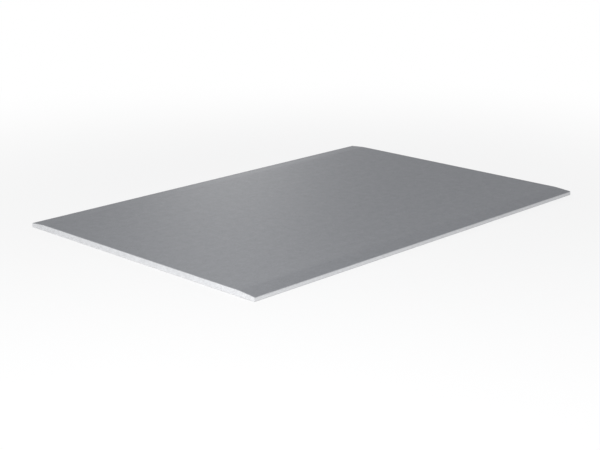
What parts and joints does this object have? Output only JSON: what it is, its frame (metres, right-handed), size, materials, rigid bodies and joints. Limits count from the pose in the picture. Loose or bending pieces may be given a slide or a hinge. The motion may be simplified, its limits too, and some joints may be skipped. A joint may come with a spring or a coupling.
{
  "type": "drywall sheet",
  "caption": "Flat rectangular gypsum wallboard with paper-faced sides, tapered round-nosed long edges and square-cut ends, for lining walls and ceilings.",
  "frame": {"origin": "middle of the sheet's back, on the surface that it lies on", "axes": "+X along the paper-bound long edges, +Y across the sheet, +Z out of the face"},
  "size_m": [1.5, 1, 0.018],
  "materials": {
    "face_paper": "matt calendered grey liner board",
    "back_paper": "matt uncalendered grey recycled liner board",
    "gypsum_core": "matt sawn white gypsum"
  },
  "bodies": {
    "root": {"drywall_sheet": "face_paper"}
  },
  "joints": []
}
